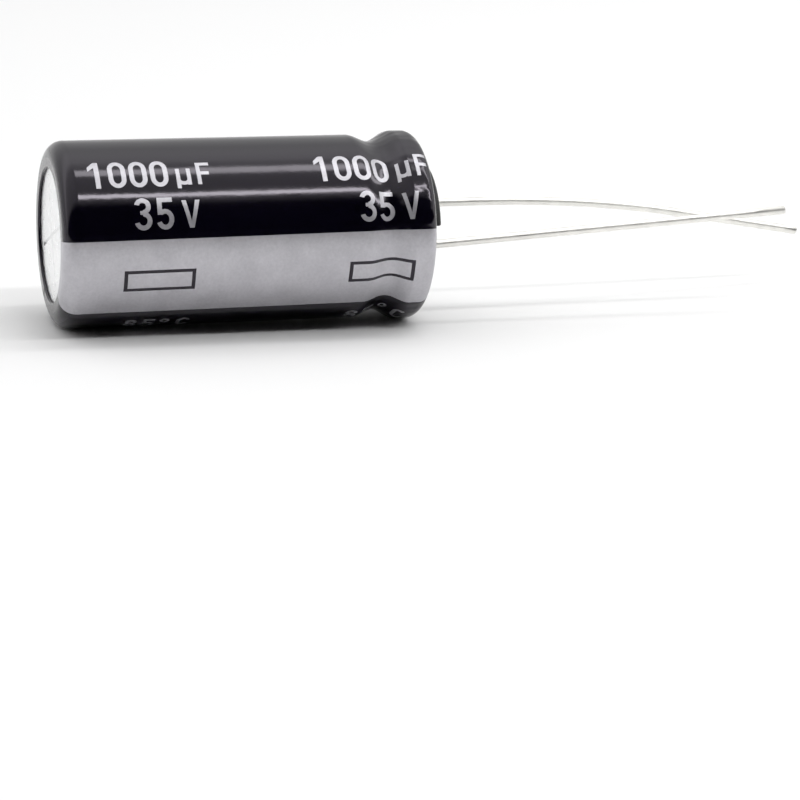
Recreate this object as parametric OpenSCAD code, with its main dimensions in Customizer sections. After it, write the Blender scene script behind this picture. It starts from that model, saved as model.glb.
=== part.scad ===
// Radial aluminium electrolytic capacitor, standing on its closed vent end.
// The axis is Z and the two leads rise from the rubber seal at the top.
// The cathode lead is on the -Y side, under the sleeve's polarity stripe.

/* [Sleeved case] */
// Diameter over the shrink sleeve
case_d = 12.7; // [10:0.1:18]
// Height from the closed end to the sleeve's upper edge
case_h = 25.6; // [20:0.1:40]
// Thickness of the shrink sleeve
sleeve_t = 0.2; // [0.1:0.05:0.3]
// Radius of the rounded edge at the closed end
shoulder_r = 1.1; // [0.9:0.05:1.4]
// Flat width of the sleeve's ring at the closed end, inside the rounded edge
vent_ring_w = 0.69; // [0.3:0.01:1.5]

/* [Drawn can] */
// Wall thickness of the aluminium can
can_t = 0.3; // [0.2:0.05:0.4]
// Width of the score lines that weaken the vent end
score_w = 0.3; // [0.15:0.05:0.4]
// Depth of the score lines
score_depth = 0.12; // [0.05:0.01:0.16]
// Space between the score lines' ends and the sleeve's ring
score_margin = 1.06; // [0.4:0.02:2]

/* [Bead and crimp] */
// Height of the crimped collar: from the middle of the bead to the sleeve's upper edge
bead_below_top = 3.15; // [2.9:0.05:3.6]
// Width of the rolled bead
bead_w = 3.4; // [2.4:0.1:3.4]
// Depth of the rolled bead
bead_depth = 0.48; // [0.2:0.02:0.6]
// How far the crimped collar stands out beyond the case's side
crimp_bulge = 0.22; // [0:0.02:0.3]
// Radius of the crimped collar's rounded edge
crimp_r = 0.8; // [0.7:0.05:1.1]
// Flat width of the sleeve's ring round the seal, inside the rounded edge
seal_ring_w = 0.35; // [0.1:0.01:0.5]
// Radius of the curl at the can's open edge
curl_r = 0.45; // [0.4:0.05:0.5]
// Length of the curl's tip below its bend
curl_tip = 0.35; // [0.2:0.05:0.5]

/* [Rubber seal] */
// Space between the curl and the seal's raised middle
boss_gap = 0.25; // [0.1:0.05:0.6]
// Height of the raised middle above the sleeve's upper edge
boss_rise = 0.25; // [0.1:0.05:0.4]
// Height of the half-moon pads above the raised middle
pad_rise = 0.6; // [0.3:0.05:1]
// Space between the pads' outer edge and the raised middle's edge
pad_margin = 0.32; // [0.1:0.02:0.6]
// Radius of the pads' rounded upper edge
pad_round = 0.25; // [0.1:0.05:0.3]
// Width of the channel between the pads, where the leads come out
channel_w = 4.8; // [3.6:0.1:5.4]
// How far the channel's floor lies below the raised middle
channel_sink = 0.05; // [0.02:0.01:0.1]
// How far the seal reaches below the middle of the bead
seal_below_bead = 2.3; // [2:0.1:3]

/* [Leads and terminals] */
// Distance between the two leads
lead_pitch = 5; // [4.5:0.1:5]
// Diameter of the lead wire
wire_d = 0.6; // [0.5:0.05:0.8]
// Straight length of the cathode lead between the seal and its bend
cathode_foot = 0.8; // [0.2:0.1:2]
// Radius of the bend at the foot of the cathode lead
cathode_bend_r = 8; // [4:1:20]
// Angle that the cathode lead leans over
cathode_lean_angle = 3.5; // [1:0.1:8]
// Compass direction of the cathode lead's lean, from +X
cathode_compass_angle = 150; // [90:5:210]
// Straight length of the cathode lead above its bend
cathode_l = 26.2; // [15:0.1:28]
// Straight length of the anode lead between the seal and its bend
anode_foot = 5.2; // [1:0.1:6]
// Radius of the anode lead's long bend
anode_bend_r = 56; // [40:1:60]
// Angle that the anode lead turns through
anode_lean_angle = 17; // [10:0.5:18]
// Compass direction of the anode lead's lean, from +X
anode_compass_angle = 25; // [0:5:30]
// Straight length of the anode lead above its bend
anode_l = 11.6; // [8:0.1:12]
// Diameter of the terminals' round posts in the seal
post_d = 2; // [1.4:0.1:2.4]
// Depth of the narrow wire holes in the seal, above the posts
wire_hole_depth = 0.6; // [0.4:0.1:1]
// Width of the flat tabs in the winding
tab_w = 1.8; // [1:0.1:2]
// Thickness of the flat tabs
tab_t = 0.3; // [0.2:0.05:0.4]
// Length of the flat tabs inside the winding
tab_l = 12; // [6:0.5:14]

/* [Winding] */
// Space round the winding inside the can
winding_gap = 0.16; // [0.1:0.02:0.3]
// Space between the winding and the seal
winding_headroom = 1; // [0.6:0.1:2]
// Diameter of the hollow that the winding mandrel leaves
mandrel_d = 1.8; // [1:0.1:2.4]
// Chamfer at the winding's ends
winding_chamfer = 0.5; // [0.4:0.05:0.7]
// Thickness of the tape round the winding
tape_t = 0.08; // [0.04:0.01:0.1]
// Height of the tape
tape_h = 14; // [8:0.5:15]

/* [Hidden] */

// Depth of each wrapped surface below the sleeve's outside
on_can = sleeve_t;
in_can = sleeve_t + can_t;

case_r = case_d / 2;
crimp_outer_r = case_r + crimp_bulge;
bead_z = case_h - bead_below_top;
seal_z = bead_z - seal_below_bead;
boss_z = case_h + boss_rise;
pad_z = boss_z + pad_rise;
channel_z = boss_z - channel_sink;
post_z = channel_z - wire_hole_depth;
wire_r = wire_d / 2;
vent_hole_r = case_r - shoulder_r - vent_ring_w;
seal_hole_r = crimp_outer_r - crimp_r - seal_ring_w;
curl_inner_r = seal_hole_r - curl_r;
boss_r = curl_inner_r - boss_gap;
pad_r = boss_r - pad_margin;
score_l = 2 * (vent_hole_r - score_margin);
lead_y = lead_pitch / 2;

winding_r = case_r - in_can - winding_gap - tape_t;
winding_z = in_can;
winding_top = seal_z - winding_headroom;
tape_z = (winding_z + winding_top - tape_h) / 2;
tab_z = winding_top - tab_l;

arc_steps = 8;
bead_steps = 16;
smooth = 96;
bend_smooth = 720;
overlap = 0.01;
bend_thinning = 0.005;
bend_lap = 0.05;
score_arms = 2;
score_turn = 45;
half_turn = 180;

// Points of an arc from angle a to angle b round the centre c
function arc(c, r, a, b, n = arc_steps) =
    [for (i = [0:n]) c + r * [cos(a + (b - a) * i / n), sin(a + (b - a) * i / n)]];

// Half of a bead: a smooth step from radius a to radius b between two heights
function ease(a, b, z0, z1, n = bead_steps / 2) =
    [for (i = [1:n]) [a + (b - a) * (1 - cos(180 * i / n)) / 2, z0 + (z1 - z0) * i / n]];

// Side of the case at a depth below the sleeve's outside, from the closed end upwards
function shoulder(depth) =
    arc([case_r - shoulder_r, shoulder_r], shoulder_r - depth, -90, 0);
function bead(depth) = concat(
    [[case_r - depth, bead_z - bead_w / 2]],
    ease(case_r - depth, case_r - depth - bead_depth, bead_z - bead_w / 2, bead_z),
    ease(case_r - depth - bead_depth, crimp_outer_r - depth, bead_z, bead_z + bead_w / 2));
function crimp(depth) =
    arc([crimp_outer_r - crimp_r, case_h - crimp_r], crimp_r - depth, 0, 90);
function side(depth) = concat(shoulder(depth), bead(depth), crimp(depth));

// The can's open edge, curled over and down into the seal
function curl(depth) = concat(
    arc([curl_inner_r + curl_r, case_h - on_can - curl_r], curl_r - depth, 90, 180),
    [[curl_inner_r + depth, case_h - on_can - curl_r - curl_tip]]);

function reversed(list) = [for (i = [len(list) - 1:-1:0]) list[i]];

// A wrapped layer of the case between two depths
module layer(outer, inner) {
    rotate_extrude($fn = smooth)
        polygon(concat(outer, reversed(inner)));
}

module at_lead(side_sign) {
    translate([0, side_sign * lead_y, 0])
        children();
}

// A round wire that stands up, bends over once and runs on straight. The bend is a
// hair thinner than the straight stretches, which reach into it at both its ends.
module bent_wire(foot, bend_r, lean, dir, length) {
    straight = wire_hole_depth + foot;
    translate([0, 0, post_z])
        rotate([0, 0, dir]) {
            cylinder(r = wire_r, h = straight + bend_lap, $fn = smooth / 2);
            translate([bend_r, 0, straight])
                rotate([90, 0, 180])
                    rotate_extrude(angle = lean, $fn = bend_smooth)
                        translate([bend_r, 0])
                            circle(r = wire_r - bend_thinning, $fn = smooth / 2);
            translate([bend_r * (1 - cos(lean)), 0, straight + bend_r * sin(lean)])
                rotate([0, lean, 0])
                    translate([0, 0, -bend_lap])
                        cylinder(r = wire_r, h = length + bend_lap, $fn = smooth / 2);
        }
}

// Flat tab stitched to the foil, rolled up into a round post at its upper end
module terminal() {
    translate([0, 0, winding_top])
        cylinder(d = post_d, h = post_z - winding_top, $fn = smooth / 2);
    translate([-tab_w / 2, -tab_t / 2, tab_z])
        cube([tab_w, tab_t, tab_l + overlap]);
}

module sleeve() {
    color([0.06, 0.06, 0.07])
        layer(
            concat([[vent_hole_r, 0]], side(0), [[seal_hole_r, case_h]]),
            concat([[vent_hole_r, on_can]], side(on_can), [[seal_hole_r, case_h - on_can]]));
}

module can() {
    color([0.85, 0.86, 0.87])
        difference() {
            layer(
                concat([[0, on_can]], side(on_can), curl(0)),
                concat([[0, in_can]], side(in_can), curl(can_t)));
            vent_score();
        }
}

// Crossed score lines with V-shaped flanks in the closed end
module vent_score() {
    for (i = [0:score_arms - 1])
        translate([0, 0, on_can])
            rotate([0, 0, score_turn + i * half_turn / score_arms])
                rotate([90, 0, 0])
                    linear_extrude(height = score_l, center = true)
                        polygon([[-score_w / 2, -overlap], [score_w / 2, -overlap],
                            [0, score_depth]]);
}

// Rubber seal with two half-moon pads on its raised middle
module bung() {
    color([0.09, 0.09, 0.09])
        difference() {
            rotate_extrude($fn = smooth)
                polygon(concat([[0, seal_z], [case_r - in_can, seal_z]],
                    bead(in_can), crimp(in_can),
                    [[boss_r, case_h - in_can], [boss_r, boss_z], [pad_r, boss_z]],
                    arc([pad_r - pad_round, pad_z - pad_round], pad_round, 0, 90),
                    [[0, pad_z]]));
            translate([-channel_w / 2, -boss_r - overlap, channel_z])
                cube([channel_w, 2 * (boss_r + overlap), pad_z - channel_z + overlap]);
            rotate_extrude($fn = smooth)
                polygon(concat(curl(0), reversed(curl(can_t))));
            for (side_sign = [-1, 1])
                at_lead(side_sign) {
                    translate([0, 0, seal_z - overlap])
                        cylinder(d = post_d, h = post_z - seal_z + overlap, $fn = smooth / 2);
                    translate([0, 0, post_z - overlap])
                        cylinder(d = wire_d, h = wire_hole_depth + 2 * overlap, $fn = smooth / 2);
                }
        }
}

module winding() {
    color([0.83, 0.76, 0.62])
        difference() {
            rotate_extrude($fn = smooth)
                polygon([
                    [mandrel_d / 2, winding_z],
                    [winding_r - winding_chamfer, winding_z],
                    [winding_r, winding_z + winding_chamfer],
                    [winding_r, winding_top - winding_chamfer],
                    [winding_r - winding_chamfer, winding_top],
                    [mandrel_d / 2, winding_top]]);
            for (side_sign = [-1, 1])
                at_lead(side_sign)
                    translate([-tab_w / 2, -tab_t / 2, tab_z])
                        cube([tab_w, tab_t, tab_l + overlap]);
        }
}

module winding_tape() {
    color([0.72, 0.55, 0.25])
        translate([0, 0, tape_z])
            difference() {
                cylinder(r = winding_r + tape_t, h = tape_h, $fn = smooth);
                translate([0, 0, -overlap])
                    cylinder(r = winding_r, h = tape_h + 2 * overlap, $fn = smooth);
            }
}

module anode_terminal() {
    color([0.80, 0.81, 0.82])
        at_lead(1)
            terminal();
}

module cathode_terminal() {
    color([0.78, 0.79, 0.80])
        at_lead(-1)
            terminal();
}

module anode_lead() {
    color([0.70, 0.71, 0.70])
        at_lead(1)
            bent_wire(anode_foot, anode_bend_r, anode_lean_angle, anode_compass_angle, anode_l);
}

module cathode_lead() {
    color([0.70, 0.71, 0.70])
        at_lead(-1)
            bent_wire(cathode_foot, cathode_bend_r, cathode_lean_angle, cathode_compass_angle, cathode_l);
}

sleeve();
can();
bung();
winding();
winding_tape();
anode_terminal();
cathode_terminal();
anode_lead();
cathode_lead();
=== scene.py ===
import math

import bpy
from mathutils import Matrix, Vector
from mathutils.geometry import delaunay_2d_cdt
from mathutils.kdtree import KDTree


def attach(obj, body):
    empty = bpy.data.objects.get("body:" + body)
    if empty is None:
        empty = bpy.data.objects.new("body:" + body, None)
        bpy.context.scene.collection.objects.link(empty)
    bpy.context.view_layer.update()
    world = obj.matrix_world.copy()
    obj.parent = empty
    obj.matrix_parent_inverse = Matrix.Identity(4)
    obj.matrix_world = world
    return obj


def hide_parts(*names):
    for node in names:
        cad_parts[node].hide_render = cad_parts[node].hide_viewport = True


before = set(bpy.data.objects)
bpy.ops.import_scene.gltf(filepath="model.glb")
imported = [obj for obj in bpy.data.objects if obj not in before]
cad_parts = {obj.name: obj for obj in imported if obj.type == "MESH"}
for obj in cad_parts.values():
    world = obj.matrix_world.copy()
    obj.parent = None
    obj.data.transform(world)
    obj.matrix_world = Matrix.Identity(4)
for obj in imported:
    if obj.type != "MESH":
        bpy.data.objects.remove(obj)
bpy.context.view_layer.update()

MM = 0.001

# Sizes of the case in millimetres, as in the model's source
CASE_R = 6.35
CASE_H = 25.6
# A hair thinner than in the source, so that the film stays clear of the can
SLEEVE_T = 0.195
SHOULDER_R = 1.1
VENT_RING_W = 0.69
BEAD_Z = 22.45
BEAD_W = 3.4
BEAD_DEPTH = 0.48
CRIMP_R = 0.8
CRIMP_OUTER_R = 6.57
SEAL_RING_W = 0.35

# Sizes of the leads in millimetres and degrees, as in the model's source
POST_Z = 25.2
WIRE_HOLE_DEPTH = 0.6
WIRE_R = 0.3
LEAD_Y = 2.5
# Name, node and side of each lead, then foot, bend radius, lean, compass angle, straight end
LEADS = [("anode_wire", "anode_lead", 1, 5.2, 56, 17, 25, 11.6),
         ("cathode_wire", "cathode_lead", -1, 0.8, 8, 3.5, 150, 26.2)]

# Angle round the case that faces the camera, up from the cathode lead's side
SIGHT_ANGLE = 35.7
# How high the camera stands over the photograph's level, and over the floor there
SIGHT_ABOVE_LEVEL = 6.21
SIGHT_ABOVE_FLOOR = 12.2


def direction(phi):
    """Unit vector square to the case's axis, phi degrees up from the cathode lead's side."""
    a = math.radians(-90 - phi)
    return Vector((math.cos(a), math.sin(a), 0))


AXIS = Vector((0, 0, 1))
SIGHT = direction(SIGHT_ANGLE)
ABOVE_SIGHT = direction(SIGHT_ANGLE + 90)
LEVEL = direction(SIGHT_ANGLE - SIGHT_ABOVE_LEVEL)
UP = direction(SIGHT_ANGLE - SIGHT_ABOVE_LEVEL + 90)
FLOOR_UP = direction(SIGHT_ANGLE - SIGHT_ABOVE_FLOOR + 90)


# Camera

FOCAL_PX = 2600
FRAME_PX = 800
SENSOR_MM = 36
CAMERA_PLACE = (-28.41, 174.12, 18.95)
CAMERA_YAW = 16.986
CAMERA_PITCH = 9.811


def make_camera():
    data = bpy.data.cameras.new("camera")
    data.sensor_width = SENSOR_MM
    data.lens = FOCAL_PX / FRAME_PX * SENSOR_MM
    data.clip_start = 0.01
    data.clip_end = 50
    cam = bpy.data.objects.new("camera", data)
    bpy.context.collection.objects.link(cam)
    along, back, high = CAMERA_PLACE
    place = AXIS * along + LEVEL * back + UP * high
    yaw, pitch = math.radians(CAMERA_YAW), math.radians(CAMERA_PITCH)
    ahead = AXIS * math.sin(yaw) - LEVEL * math.cos(yaw)
    look = ahead * math.cos(pitch) - UP * math.sin(pitch)
    right = AXIS * math.cos(yaw) + LEVEL * math.sin(yaw)
    turn = Matrix((right, right.cross(look), -look)).transposed()
    cam.matrix_world = Matrix.Translation(place * MM) @ turn.to_4x4()
    bpy.context.scene.camera = cam


# Node helpers

def new_material(name):
    mat = bpy.data.materials.new(name)
    mat.use_nodes = True
    tree = mat.node_tree
    tree.nodes.clear()
    return mat, tree


def add(tree, kind, **inputs):
    """A node of this kind with its input values set or linked by name."""
    node = tree.nodes.new(kind)
    for key, value in inputs.items():
        socket = node.inputs[key.replace("_", " ")]
        if isinstance(value, bpy.types.NodeSocket):
            tree.links.new(value, socket)
        else:
            socket.default_value = value
    return node


def math_node(tree, operation, a, b=0.0):
    node = tree.nodes.new("ShaderNodeMath")
    node.operation = operation
    for socket, value in zip(node.inputs, (a, b)):
        if isinstance(value, bpy.types.NodeSocket):
            tree.links.new(value, socket)
        else:
            socket.default_value = value
    return node.outputs[0]


def ramp(tree, fac, stops):
    """A colour ramp through grey or coloured stops of (place, value)."""
    node = tree.nodes.new("ShaderNodeValToRGB")
    elements = node.color_ramp.elements
    while len(elements) < len(stops):
        elements.new(0.5)
    for element, (place, value) in zip(elements, stops):
        element.position = place
        rgb = value if isinstance(value, tuple) else (value, value, value)
        element.color = (*rgb, 1)
    tree.links.new(fac, node.inputs["Fac"])
    return node.outputs["Color"]


def noise(tree, scale, detail=3.0, rough=0.5, stretch=None):
    """Noise over the object's own coordinates, in features per metre."""
    coords = tree.nodes.new("ShaderNodeTexCoord").outputs["Object"]
    if stretch:
        mapping = add(tree, "ShaderNodeMapping", Vector=coords, Scale=stretch)
        coords = mapping.outputs["Vector"]
    node = add(tree, "ShaderNodeTexNoise", Vector=coords, Scale=scale, Detail=detail,
               Roughness=rough)
    return node.outputs["Fac"]


def principled(tree, **inputs):
    shader = add(tree, "ShaderNodeBsdfPrincipled", **inputs)
    out = tree.nodes.new("ShaderNodeOutputMaterial")
    tree.links.new(shader.outputs["BSDF"], out.inputs["Surface"])
    return shader


def bump(tree, height, distance, strength=1.0, normal=None):
    node = add(tree, "ShaderNodeBump", Height=height, Distance=distance, Strength=strength)
    if normal is not None:
        tree.links.new(normal, node.inputs["Normal"])
    return node.outputs["Normal"]


# Materials

# Heights in millimetres where the film starts to wrinkle, and where it wrinkles fully
WRINKLE_START, WRINKLE_FULL = 20.5, 23.5
# Depth of aluminium's scratches in metres
SCRATCH_DEPTH = 0.00001


def film_material(name):
    """Black shrink film: glossy, with orange peel, faint rubs and wrinkles near the bead."""
    mat, tree = new_material(name)
    peel = noise(tree, 1400, 3.0)
    waves = noise(tree, 320, 2.0, 0.5, (1, 1, 0.35))
    rubs = noise(tree, 260, 5.0, 0.65, (1, 1, 0.25))
    wrinkles = noise(tree, 750, 1.5, 0.4, (1, 1, 0.6))
    place = tree.nodes.new("ShaderNodeTexCoord").outputs["Object"]
    height = add(tree, "ShaderNodeSeparateXYZ", Vector=place).outputs["Z"]
    near_bead = add(tree, "ShaderNodeMapRange", Value=height, From_Min=WRINKLE_START * MM,
                    From_Max=WRINKLE_FULL * MM, To_Min=0.0, To_Max=1.0).outputs["Result"]
    folds = math_node(tree, "MULTIPLY", wrinkles, near_bead)
    colour = ramp(tree, rubs, [(0.3, (0.001, 0.0007, 0.003)), (0.7, (0.0018, 0.0012, 0.005))])
    rough = ramp(tree, rubs, [(0.35, 0.1), (0.75, 0.16)])
    normal = bump(tree, peel, 0.00001, 0.6)
    normal = bump(tree, waves, 0.00003, 0.4, normal)
    normal = bump(tree, folds, 0.00025, 0.6, normal)
    principled(tree, Base_Color=colour, Roughness=rough, Normal=normal, IOR=1.5,
               Specular_Tint=(0.96, 0.9, 1.0, 1))
    return mat


def ink_material(name):
    """Silver-grey print: part metal flake, part plain pigment, with a fine grain."""
    mat, tree = new_material(name)
    grain = noise(tree, 5000, 2.0, 0.6)
    cloud = noise(tree, 600, 4.0, 0.6)
    mixed = math_node(tree, "ADD", math_node(tree, "MULTIPLY", grain, 0.5),
                      math_node(tree, "MULTIPLY", cloud, 0.5))
    colour = ramp(tree, mixed, [(0.3, (0.44, 0.432, 0.462)), (0.7, (0.57, 0.56, 0.592))])
    rough = ramp(tree, grain, [(0.3, 0.37), (0.7, 0.45)])
    principled(tree, Base_Color=colour, Metallic=0.78, Roughness=rough,
               Normal=bump(tree, grain, 0.00001, 0.5))
    return mat


def aluminium_material(name, colour, rough):
    """Drawn aluminium: fine random scratches over a satin face."""
    mat, tree = new_material(name)
    grain = noise(tree, 2500, 4.0, 0.6)
    line_a = noise(tree, 700, 3.0, 0.5, (1, 14, 1))
    line_b = noise(tree, 500, 3.0, 0.5, (11, 1, 1))
    lines = math_node(tree, "MAXIMUM", line_a, line_b)
    marks = ramp(tree, lines, [(0.6, 0.0), (0.72, 1.0)])
    rough_map = ramp(tree, grain, [(0.3, rough - 0.06), (0.7, rough + 0.08)])
    dull = tuple(c * 0.86 for c in colour)
    tone = ramp(tree, lines, [(0.55, colour), (0.75, dull)])
    normal = bump(tree, marks, SCRATCH_DEPTH, 0.5)
    principled(tree, Base_Color=tone, Metallic=1.0, Roughness=rough_map, Normal=normal)
    return mat


def rubber_material(name):
    mat, tree = new_material(name)
    grain = noise(tree, 3500, 4.0, 0.6)
    blotch = noise(tree, 500, 3.0)
    colour = ramp(tree, blotch, [(0.3, (0.012, 0.012, 0.012)), (0.7, (0.03, 0.03, 0.03))])
    rough = ramp(tree, grain, [(0.3, 0.55), (0.7, 0.75)])
    principled(tree, Base_Color=colour, Roughness=rough,
               Normal=bump(tree, grain, 0.00003, 0.6))
    return mat


def tinned_material(name):
    """Tin-plated wire: drawn lines along it and a slightly mottled plating."""
    mat, tree = new_material(name)
    drawn = noise(tree, 3000, 3.0, 0.5, (1, 1, 0.03))
    mottle = noise(tree, 900, 3.0)
    colour = ramp(tree, mottle, [(0.3, (0.8, 0.79, 0.75)), (0.7, (0.92, 0.91, 0.87))])
    rough = ramp(tree, mottle, [(0.3, 0.4), (0.7, 0.52)])
    principled(tree, Base_Color=colour, Metallic=1.0, Roughness=rough,
               Normal=bump(tree, drawn, 0.000004, 0.4))
    return mat


def paper_material(name, light, dark, rough):
    mat, tree = new_material(name)
    fibre = noise(tree, 1500, 4.0, 0.6, (1, 1, 0.2))
    colour = ramp(tree, fibre, [(0.3, dark), (0.7, light)])
    principled(tree, Base_Color=colour, Roughness=rough,
               Normal=bump(tree, fibre, 0.00002, 0.5))
    return mat


# The sleeve's section

def arc(cx, cz, r, a, b, n):
    turns = [math.radians(a + (b - a) * i / n) for i in range(n + 1)]
    return [(cx + r * math.cos(t), cz + r * math.sin(t)) for t in turns]


def ease(r0, r1, z0, z1, n):
    """A smooth step in radius between two heights, without its first point."""
    return [(r0 + (r1 - r0) * (1 - math.cos(math.pi * i / n)) / 2, z0 + (z1 - z0) * i / n)
            for i in range(1, n + 1)]


def line(p, q, n):
    """Points from p to q, without the first and the last."""
    return [(p[0] + (q[0] - p[0]) * i / n, p[1] + (q[1] - p[1]) * i / n)
            for i in range(1, n)]


def shoulder(depth, n):
    return arc(CASE_R - SHOULDER_R, SHOULDER_R, SHOULDER_R - depth, -90, 0, n)


def bead(depth, n):
    side, low, collar = CASE_R - depth, CASE_R - BEAD_DEPTH - depth, CRIMP_OUTER_R - depth
    foot, head = BEAD_Z - BEAD_W / 2, BEAD_Z + BEAD_W / 2
    return [(side, foot)] + ease(side, low, foot, BEAD_Z, n) + ease(low, collar, BEAD_Z, head, n)


def collar(depth, n):
    return arc(CRIMP_OUTER_R - CRIMP_R, CASE_H - CRIMP_R, CRIMP_R - depth, 0, 90, n)


def sleeve_section():
    """Closed outline of the sleeve's wall, from mid-height inside, down, out and round."""
    t = SLEEVE_T
    vent_r = CASE_R - SHOULDER_R - VENT_RING_W
    seal_r = CRIMP_OUTER_R - CRIMP_R - SEAL_RING_W
    lip_steps, fine, coarse = 6, 12, 6
    side_steps, bead_steps, inner_steps = 16, 16, 3
    start = (CASE_R - t, CASE_H / 2)
    inner_shoulder = shoulder(t, coarse)[::-1]
    vent_lip = arc(vent_r + t / 2, t / 2, t / 2, 90, 270, lip_steps)
    outer_shoulder = shoulder(0, fine)
    outer_bead = bead(0, bead_steps)
    outer_collar = collar(0, fine)
    seal_lip = arc(seal_r + t / 2, CASE_H - t / 2, t / 2, 90, 270, lip_steps)
    inner_collar = collar(t, coarse)[::-1]
    inner_bead = bead(t, bead_steps // 2)[::-1]
    path = [start] + line(start, inner_shoulder[-1], inner_steps)
    path += inner_shoulder + vent_lip
    first_outer = len(path) - lip_steps // 2
    path += outer_shoulder
    side_start = len(path) - 1
    path += line(outer_shoulder[-1], outer_bead[0], side_steps) + outer_bead + outer_collar
    last_outer = len(path) + lip_steps // 2
    path += seal_lip + inner_collar + inner_bead
    path += line(inner_bead[-1], start, inner_steps) + [start]
    return path, first_outer, side_start, last_outer


# Points of the section nearer than this, in millimetres, are one
SAME_POINT = 1e-6


class Section:
    """The sleeve's section as a path by arc length, with its outward normals."""

    def __init__(self):
        raw, first, side, last = sleeve_section()
        marks = [raw[first], raw[side], raw[last]]
        self.points = [raw[0]]
        for p in raw[1:]:
            if math.dist(p, self.points[-1]) > SAME_POINT:
                self.points.append(p)
        self.s = [0.0]
        for p, q in zip(self.points, self.points[1:]):
            self.s.append(self.s[-1] + math.dist(p, q))
        self.total = self.s[-1]
        self.first, self.side, self.last = (
            self.s[min(range(len(self.points)), key=lambda i: math.dist(self.points[i], m))]
            for m in marks)
        self.normals = []
        ring = self.points[:-1]
        for i in range(len(self.points)):
            a, b = ring[(i - 1) % len(ring)], ring[(i + 1) % len(ring)]
            n = Vector((b[1] - a[1], a[0] - b[0])).normalized()
            self.normals.append(n)

    def at(self, s):
        lo, hi = 0, len(self.s) - 1
        while hi - lo > 1:
            mid = (lo + hi) // 2
            lo, hi = (mid, hi) if self.s[mid] <= s else (lo, mid)
        f = (s - self.s[lo]) / (self.s[hi] - self.s[lo])
        r = self.points[lo][0] * (1 - f) + self.points[hi][0] * f
        z = self.points[lo][1] * (1 - f) + self.points[hi][1] * f
        n = (self.normals[lo] * (1 - f) + self.normals[hi] * f).normalized()
        return r, z, n


# Print on the sleeve, as outlines on the unrolled film: x along the axis, y round the case

# Angles hold at the closed end: the shrunk film turns a little on its way up the case
TWIST_PER_MM = 0.065
STRIPE_LOW, STRIPE_HIGH = -21.15, 30.65
PRINT_PITCH = 15.45
INK_STEP = 0.18

GLYPH_W = 0.55
STROKE = 0.148


def band(cx, cy, rx, ry, a, b, n=14, stroke=STROKE):
    """A stroke along an ellipse's arc, between its outline and one stroke inside it."""
    turns = [math.radians(a + (b - a) * i / n) for i in range(n + 1)]
    outer = [(cx + rx * math.cos(t), cy + ry * math.sin(t)) for t in turns]
    inner = [(cx + (rx - stroke) * math.cos(t), cy + (ry - stroke) * math.sin(t))
             for t in reversed(turns)]
    return outer + inner


def bar(x0, y0, x1, y1):
    return [(x0, y0), (x1, y0), (x1, y1), (x0, y1)]


def glyph_zero():
    half, bow = GLYPH_W / 2, 0.32
    return [band(half, 1 - bow, half, bow, 0, 180), band(half, bow, half, bow, 180, 360),
            bar(0, bow, STROKE, 1 - bow), bar(GLYPH_W - STROKE, bow, GLYPH_W, 1 - bow)]


def glyph_one():
    right = GLYPH_W * 0.7
    left = right - STROKE
    return [bar(left, 0, right, 1),
            [(left, 1), (0.04, 0.80), (0.04, 0.64), (left, 0.78)]]


def glyph_three():
    half = GLYPH_W / 2
    return [band(half, 0.74, half * 0.94, 0.26, 165, -90), band(half, 0.29, half, 0.29, 90, -165),
            bar(half * 0.7, 0.48, half * 1.1, 0.48 + STROKE * 0.8)]


def glyph_five():
    half = GLYPH_W / 2
    return [bar(0.05, 1 - STROKE, GLYPH_W - 0.03, 1), bar(0.05, 0.46, 0.05 + STROKE, 1),
            band(half, 0.32, half, 0.32, 130, -160)]


def glyph_eight():
    half = GLYPH_W / 2
    return [band(half, 0.75, half * 0.9, 0.25, 0, 360, 24), band(half, 0.29, half, 0.29, 0, 360, 24)]


def glyph_micro():
    half = GLYPH_W / 2
    return [bar(0, -0.14, STROKE, 0.72), bar(GLYPH_W - STROKE, 0, GLYPH_W, 0.72),
            band(half, 0.24, half, 0.24, 180, 360)]


def glyph_farad():
    return [bar(0, 0, STROKE, 1), bar(0, 1 - STROKE, GLYPH_W * 0.92, 1),
            bar(0, 0.42, GLYPH_W * 0.84, 0.42 + STROKE)]


def glyph_volt():
    half, wide, lean = GLYPH_W * 0.6, STROKE * 1.1, GLYPH_W * 1.2
    return [[(half - wide / 2, 0), (half + wide / 2, 0), (lean, 1), (lean - wide, 1),
             (half, 0.24), (wide, 1), (0, 1)]]


def glyph_degree():
    return [band(0.22, 0.78, 0.2, 0.22, 0, 360, 16, 0.11)]


def glyph_celsius():
    half, bow = GLYPH_W / 2, 0.32
    return [band(half, 1 - bow, half, bow, 20, 180), band(half, bow, half, bow, 180, 340),
            bar(0, bow, STROKE, 1 - bow)]


GLYPHS = {"0": glyph_zero, "1": glyph_one, "3": glyph_three, "5": glyph_five, "8": glyph_eight,
          "u": glyph_micro, "F": glyph_farad, "V": glyph_volt, "o": glyph_degree,
          "C": glyph_celsius}

# Rating in parts: text, place along the axis, baseline angle, height and pitch
RATING = [("1000", 1.83, 63.2, 2.17, 1.41), ("uF", 7.78, 64.0, 1.82, 1.42),
          ("35", 4.66, 36.4, 2.17, 1.47), ("V", 7.89, 37.0, 1.87, 1.47),
          ("85oC", 4.5, -47.4, 1.7, 1.2)]


def text_outlines(text, x0, y0, height, pitch):
    return [[(x0 + i * pitch + x * height, y0 + y * height) for x, y in outline]
            for i, letter in enumerate(text) for outline in GLYPHS[letter]()]


# Outlined minus marks in the stripe: place along the axis, angles, length and line width
MARK_START, MARK_LENGTH = 3.97, 4.83
MARK_LOW, MARK_HIGH = -2.3, 11.95
MARK_LINE, MARK_END_LINE = 0.23, 0.26


def round_case(angle):
    """Distance round the case for an angle from the cathode lead's side."""
    return CASE_R * math.radians(angle)


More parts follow.
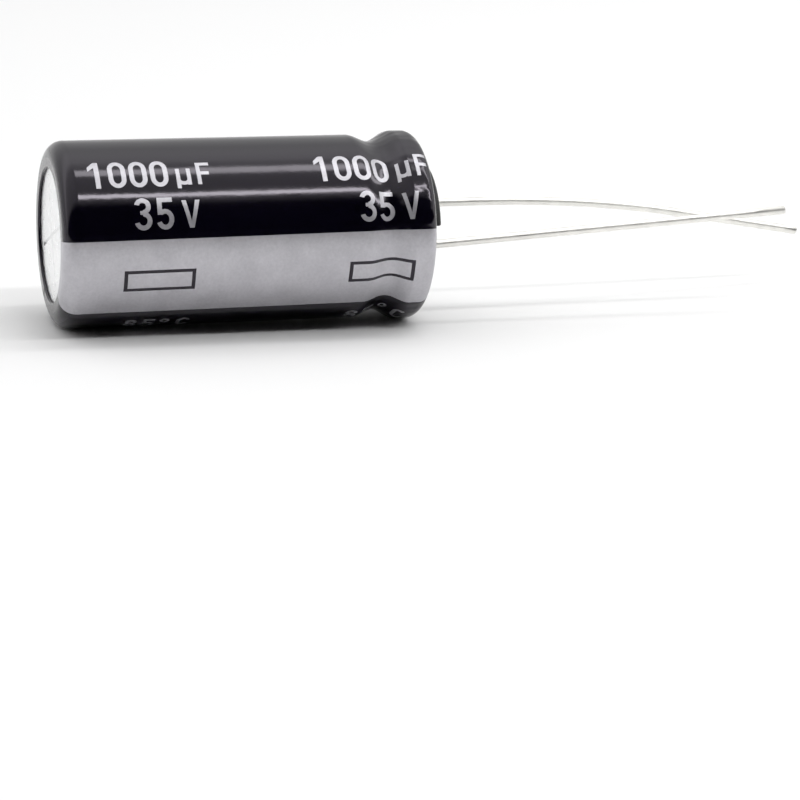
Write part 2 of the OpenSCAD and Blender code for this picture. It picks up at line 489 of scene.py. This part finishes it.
def twisted(outline, closed_end):
    """The outline with the film's turn, which grows from the case's closed end."""
    return [(x, y + round_case(TWIST_PER_MM * (x - closed_end))) for x, y in outline]


def counter_clockwise(outline):
    area = sum(p[0] * q[1] - q[0] * p[1] for p, q in zip(outline, outline[1:] + outline[:1]))
    return outline if area > 0 else outline[::-1]


def subdivided(outline, step):
    points = []
    for p, q in zip(outline, outline[1:] + outline[:1]):
        n = max(1, math.ceil(math.dist(p, q) / step))
        points += [(p[0] + (q[0] - p[0]) * i / n, p[1] + (q[1] - p[1]) * i / n)
                   for i in range(n)]
    return points


def print_outlines(section):
    """Outlines of the print with what each one is: stripe, ink, mark or mark_hole."""
    base = section.side - SHOULDER_R
    shapes = [("stripe", bar(section.first, round_case(STRIPE_LOW),
                             section.last, round_case(STRIPE_HIGH)))]
    for repeat in range(2):
        shift = base + repeat * PRINT_PITCH
        for text, x, angle, height, pitch in RATING:
            for outline in text_outlines(text, shift + x, round_case(angle), height, pitch):
                shapes.append(("ink", outline))
        x0, x1 = shift + MARK_START, shift + MARK_START + MARK_LENGTH
        y0, y1 = round_case(MARK_LOW), round_case(MARK_HIGH)
        shapes.append(("mark", bar(x0, y0, x1, y1)))
        shapes.append(("mark_hole", bar(x0 + MARK_END_LINE, y0 + MARK_LINE,
                                        x1 - MARK_END_LINE, y1 - MARK_LINE)))
    return [(kind, twisted(outline, base)) for kind, outline in shapes]


# The sleeve as one mesh, unrolled, cut along the print and rolled up again

COLUMNS = 144
CLEAR_OF_INK = 0.07
HALF_ROUND = math.pi * CASE_R
# Distances in millimetres within which a cut is exact, and within which a seam is met
CUT_TOLERANCE = 1e-6
SEAM_TOLERANCE = 1e-4


def is_inked(kinds):
    if "ink" in kinds:
        return True
    return "stripe" in kinds and ("mark" not in kinds or "mark_hole" in kinds)


def cut_outlines(section):
    """The print's outlines in short steps: their points, their loops and what each one is."""
    points, loops, kinds = [], [], []
    for kind, outline in print_outlines(section):
        ring = subdivided(counter_clockwise(outline), INK_STEP)
        loops.append(list(range(len(points), len(points) + len(ring))))
        points += ring
        kinds.append(kind)
    return points, loops, kinds


def film_grid(section, outline_points):
    """Points of the unrolled film's rim, and inside it those that are clear of the print."""
    columns = [-HALF_ROUND + 2 * HALF_ROUND * i / COLUMNS for i in range(COLUMNS + 1)]
    nearest = KDTree(len(outline_points))
    for i, p in enumerate(outline_points):
        nearest.insert((p[0], p[1], 0), i)
    nearest.balance()
    rim = [(s, y) for s in (0.0, section.total) for y in columns]
    rim += [(s, y) for y in (columns[0], columns[-1]) for s in section.s[1:-1]]
    inside = [(s, y) for s in section.s[1:-1] for y in columns[1:-1]
              if nearest.find((s, y, 0))[2] > CLEAR_OF_INK]
    return rim + inside


def rolled_up(section, flat_points):
    """Places and normals of the rolled film, and each flat point's place among them."""
    index, coords, normals, weld = {}, [], [], []
    for v in flat_points:
        s = 0.0 if v.x > section.total - SEAM_TOLERANCE else v.x
        y = -HALF_ROUND if v.y > HALF_ROUND - SEAM_TOLERANCE else v.y
        key = (round(s, 4), round(y, 4))
        if key not in index:
            index[key] = len(coords)
            r, z, n = section.at(s)
            out = direction(math.degrees(y / CASE_R))
            coords.append((out * r + AXIS * z) * MM)
            normals.append(out * n.x + AXIS * n.y)
        weld.append(index[key])
    return coords, normals, weld


def make_sleeve(film, ink):
    section = Section()
    outline_points, loops, kinds = cut_outlines(section)
    points = [Vector(p) for p in outline_points + film_grid(section, outline_points)]
    flat_points, _, tris, _, _, owners = delaunay_2d_cdt(points, [], loops, 0, CUT_TOLERANCE, True)
    coords, normals, weld = rolled_up(section, flat_points)
    polygons, inked = [], []
    for tri, owner in zip(tris, owners):
        polygon = [weld[i] for i in tri]
        if len(set(polygon)) == 3:
            polygons.append(polygon)
            inked.append(is_inked({kinds[f] for f in owner}))
    mesh = bpy.data.meshes.new("shrink_sleeve")
    mesh.from_pydata(coords, [], polygons)
    mesh.materials.append(film)
    mesh.materials.append(ink)
    for polygon, is_ink in zip(mesh.polygons, inked):
        polygon.use_smooth = True
        polygon.material_index = int(is_ink)
    mesh.update()
    mesh.normals_split_custom_set_from_vertices(normals)
    sleeve = bpy.data.objects.new("shrink_sleeve", mesh)
    bpy.context.collection.objects.link(sleeve)
    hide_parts("sleeve")
    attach(sleeve, "root")


# Leads

WIRE_SIDES = 32
FOOT_STEPS, BEND_STEPS, END_STEPS = 6, 40, 8


def wire_path(foot, bend_r, lean, length):
    """Distances out and up of a wire that stands up, bends over once and runs on."""
    straight = WIRE_HOLE_DEPTH + foot
    points = [(0.0, straight * i / FOOT_STEPS, 0.0) for i in range(FOOT_STEPS)]
    for i in range(BEND_STEPS + 1):
        a = math.radians(lean) * i / BEND_STEPS
        points.append((bend_r * (1 - math.cos(a)), straight + bend_r * math.sin(a), a))
    out, up, a = points[-1]
    for i in range(1, END_STEPS + 1):
        d = length * i / END_STEPS
        points.append((out + d * math.sin(a), up + d * math.cos(a), a))
    return points


def make_wire(name, node, side, foot, bend_r, lean, compass, length, material):
    c = math.radians(compass)
    out_dir = Vector((math.cos(c), math.sin(c), 0))
    across = out_dir.cross(AXIS)
    base = Vector((0, side * LEAD_Y, POST_Z))
    path = wire_path(foot, bend_r, lean, length)
    coords, polygons = [], []
    for out, up, a in path:
        centre = base + out_dir * out + AXIS * up
        lean_dir = out_dir * math.cos(a) - AXIS * math.sin(a)
        for k in range(WIRE_SIDES):
            t = 2 * math.pi * k / WIRE_SIDES
            offset = lean_dir * math.cos(t) + across * math.sin(t)
            coords.append((centre + offset * WIRE_R) * MM)
    for ring in range(len(path) - 1):
        for k in range(WIRE_SIDES):
            a, b = ring * WIRE_SIDES + k, ring * WIRE_SIDES + (k + 1) % WIRE_SIDES
            polygons.append((a, a + WIRE_SIDES, b + WIRE_SIDES, b))
    last = (len(path) - 1) * WIRE_SIDES
    polygons.append(list(range(WIRE_SIDES))[::-1])
    polygons.append([last + k for k in range(WIRE_SIDES)])
    mesh = bpy.data.meshes.new(name)
    mesh.from_pydata(coords, [], polygons)
    mesh.materials.append(material)
    for polygon in mesh.polygons:
        polygon.use_smooth = len(polygon.vertices) == 4
    mesh.update()
    wire = bpy.data.objects.new(name, mesh)
    bpy.context.collection.objects.link(wire)
    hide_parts(node)
    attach(wire, "root")


# Pieces

def dress_pieces():
    film = film_material("black_film")
    ink = ink_material("grey_ink")
    can = aluminium_material("can_aluminium", (0.91, 0.912, 0.915), 0.3)
    terminal = aluminium_material("terminal_aluminium", (0.85, 0.86, 0.87), 0.35)
    tinned = tinned_material("tinned_wire")
    finishes = {
        "can": can,
        "bung": rubber_material("seal_rubber"),
        "winding": paper_material("wound_paper", (0.78, 0.70, 0.54), (0.62, 0.53, 0.38), 0.8),
        "winding_tape": paper_material("tape_film", (0.6, 0.43, 0.2), (0.5, 0.34, 0.13), 0.3),
        "anode_terminal": terminal,
        "cathode_terminal": terminal,
    }
    for node, material in finishes.items():
        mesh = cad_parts[node].data
        mesh.materials.clear()
        mesh.materials.append(material)
    make_sleeve(film, ink)
    for lead in LEADS:
        make_wire(*lead, tinned)


# Floor, seen from above only, and light

FLOOR_SIZE = 3.0
# The camera's own floor has a painted glow: this much near the case and further out, in metres
GLOW_NEAR, GLOW_FAR = 0.35, 1.0
GLOW_START, GLOW_END = 0.01, 0.2


def floor_material(name, level, camera_only):
    """White floor that is clear from below. One for the camera only has a painted glow, which grows
    further out.
    """
    mat, tree = new_material(name)
    lit = add(tree, "ShaderNodeBsdfDiffuse", Color=(level, level, level, 1))
    below = tree.nodes.new("ShaderNodeNewGeometry").outputs["Backfacing"]
    if camera_only:
        place = tree.nodes.new("ShaderNodeTexCoord").outputs["Object"]
        reach = add(tree, "ShaderNodeVectorMath", Vector=place)
        reach.operation = "LENGTH"
        glow = add(tree, "ShaderNodeMapRange", Value=reach.outputs["Value"],
                   From_Min=GLOW_START, From_Max=GLOW_END,
                   To_Min=GLOW_NEAR, To_Max=GLOW_FAR).outputs["Result"]
        # Painted glow: emission that no lamp gives, weaker near the case so the floor turns white
        # further out
        shine = add(tree, "ShaderNodeEmission", Color=(1, 1, 1, 1), Strength=glow)
        both = tree.nodes.new("ShaderNodeAddShader")
        tree.links.new(lit.outputs[0], both.inputs[0])
        tree.links.new(shine.outputs[0], both.inputs[1])
        lit = both
        path = tree.nodes.new("ShaderNodeLightPath")
        unseen = math_node(tree, "SUBTRACT", 1.0, path.outputs["Is Camera Ray"])
        below = math_node(tree, "MAXIMUM", below, unseen)
    clear = tree.nodes.new("ShaderNodeBsdfTransparent")
    mix = tree.nodes.new("ShaderNodeMixShader")
    tree.links.new(below, mix.inputs[0])
    tree.links.new(lit.outputs[0], mix.inputs[1])
    tree.links.new(clear.outputs[0], mix.inputs[2])
    out = tree.nodes.new("ShaderNodeOutputMaterial")
    tree.links.new(mix.outputs[0], out.inputs["Surface"])
    return mat


def make_plane(name, centre, up, along, material):
    side = up.cross(along).normalized()
    corners = [centre + (along * a + side * b) * FLOOR_SIZE / 2
               for a, b in ((-1, -1), (1, -1), (1, 1), (-1, 1))]
    mesh = bpy.data.meshes.new(name)
    mesh.from_pydata(corners, [], [(0, 1, 2, 3)])
    mesh.materials.append(material)
    plane = bpy.data.objects.new(name, mesh)
    bpy.context.collection.objects.link(plane)


def make_floors():
    """The floor that the case lies on in the photograph, and one under it when it stands."""
    low, high = SHOULDER_R, CASE_H - CRIMP_R
    rise = (CRIMP_OUTER_R - CASE_R) / (high - low)
    along = (AXIS - FLOOR_UP * rise).normalized()
    up = (FLOOR_UP + AXIS * rise).normalized()
    contact = (AXIS * high - FLOOR_UP * CRIMP_OUTER_R) * MM
    make_plane("lying_floor", contact, up, along,
               floor_material("lying_floor", 0.9, False))
    make_plane("standing_floor", Vector((0, 0, 0)), AXIS, Vector((1, 0, 0)),
               floor_material("standing_floor", 0.8, True))


STRIP_DISTANCE = 0.45
STRIP_LENGTH = 0.8
STRIP_START = 0.048
# Name, angle above the line of sight, width in degrees and radiance of each strip
STRIPS = [("low_strip", 45.2, 4.6, 12), ("high_strip", 78.6, 9, 4.8)]


def make_strip(name, angle, width_deg, radiance):
    """A long soft light along the case, at an angle above the line of sight."""
    width = 2 * STRIP_DISTANCE * math.tan(math.radians(width_deg / 2))
    data = bpy.data.lights.new(name, "AREA")
    data.shape = "RECTANGLE"
    data.size = width
    data.size_y = STRIP_LENGTH
    data.energy = radiance * math.pi * width * STRIP_LENGTH
    lamp = bpy.data.objects.new(name, data)
    bpy.context.collection.objects.link(lamp)
    a = math.radians(angle)
    back = SIGHT * math.cos(a) + ABOVE_SIGHT * math.sin(a)
    turn = Matrix((back.cross(AXIS) * -1, AXIS, back)).transposed()
    centre = AXIS * (STRIP_START + STRIP_LENGTH / 2) + back * STRIP_DISTANCE
    lamp.matrix_world = Matrix.Translation(centre) @ turn.to_4x4()


# Brightness of the surroundings by the angle above the line of sight, in degrees
SURROUNDINGS = [(-180, 0.8), (-100, 0.9), (-40, 0.9), (-20, 0.004), (33, 0.004), (42, 0.65),
                (85, 0.9), (97, 1.5), (108, 1.35), (124, 0.85), (145, 0.68), (180, 0.8)]
TENT_STRENGTH = 1.5
# The tent is brighter towards the closed end, between these heights of a ray
CLOSED_END_GAIN = 1.15
GAIN_FULL, GAIN_GONE = -0.2, 0.05


def make_world():
    """White for the camera. Other rays see a light tent with a dark gap round the camera."""
    world = bpy.data.worlds.new("studio")
    bpy.context.scene.world = world
    world.use_nodes = True
    tree = world.node_tree
    tree.nodes.clear()
    ray = tree.nodes.new("ShaderNodeTexCoord").outputs["Generated"]
    parts = []
    for axis in (SIGHT, ABOVE_SIGHT):
        dot = add(tree, "ShaderNodeVectorMath")
        dot.operation = "DOT_PRODUCT"
        tree.links.new(ray, dot.inputs[0])
        dot.inputs[1].default_value = axis
        parts.append(dot.outputs["Value"])
    angle = math_node(tree, "ARCTAN2", parts[1], parts[0])
    share = math_node(tree, "ADD", math_node(tree, "DIVIDE", angle, 2 * math.pi), 0.5)
    tent = ramp(tree, share, [((a + 180) / 360, v / TENT_STRENGTH) for a, v in SURROUNDINGS])
    path = tree.nodes.new("ShaderNodeLightPath")
    along = add(tree, "ShaderNodeSeparateXYZ", Vector=ray).outputs["Z"]
    gain = add(tree, "ShaderNodeMapRange", Value=along, From_Min=GAIN_FULL, From_Max=GAIN_GONE,
               To_Min=CLOSED_END_GAIN * TENT_STRENGTH, To_Max=TENT_STRENGTH).outputs["Result"]
    lit = add(tree, "ShaderNodeBackground", Color=tent, Strength=gain)
    white = add(tree, "ShaderNodeBackground", Color=(1, 1, 1, 1), Strength=1.0)
    mix = tree.nodes.new("ShaderNodeMixShader")
    tree.links.new(path.outputs["Is Camera Ray"], mix.inputs[0])
    tree.links.new(lit.outputs[0], mix.inputs[1])
    tree.links.new(white.outputs[0], mix.inputs[2])
    out = tree.nodes.new("ShaderNodeOutputWorld")
    tree.links.new(mix.outputs[0], out.inputs["Surface"])


def make_lights():
    make_world()
    for strip in STRIPS:
        make_strip(*strip)


bpy.context.scene.view_settings.view_transform = "Standard"
make_camera()
dress_pieces()
make_floors()
make_lights()
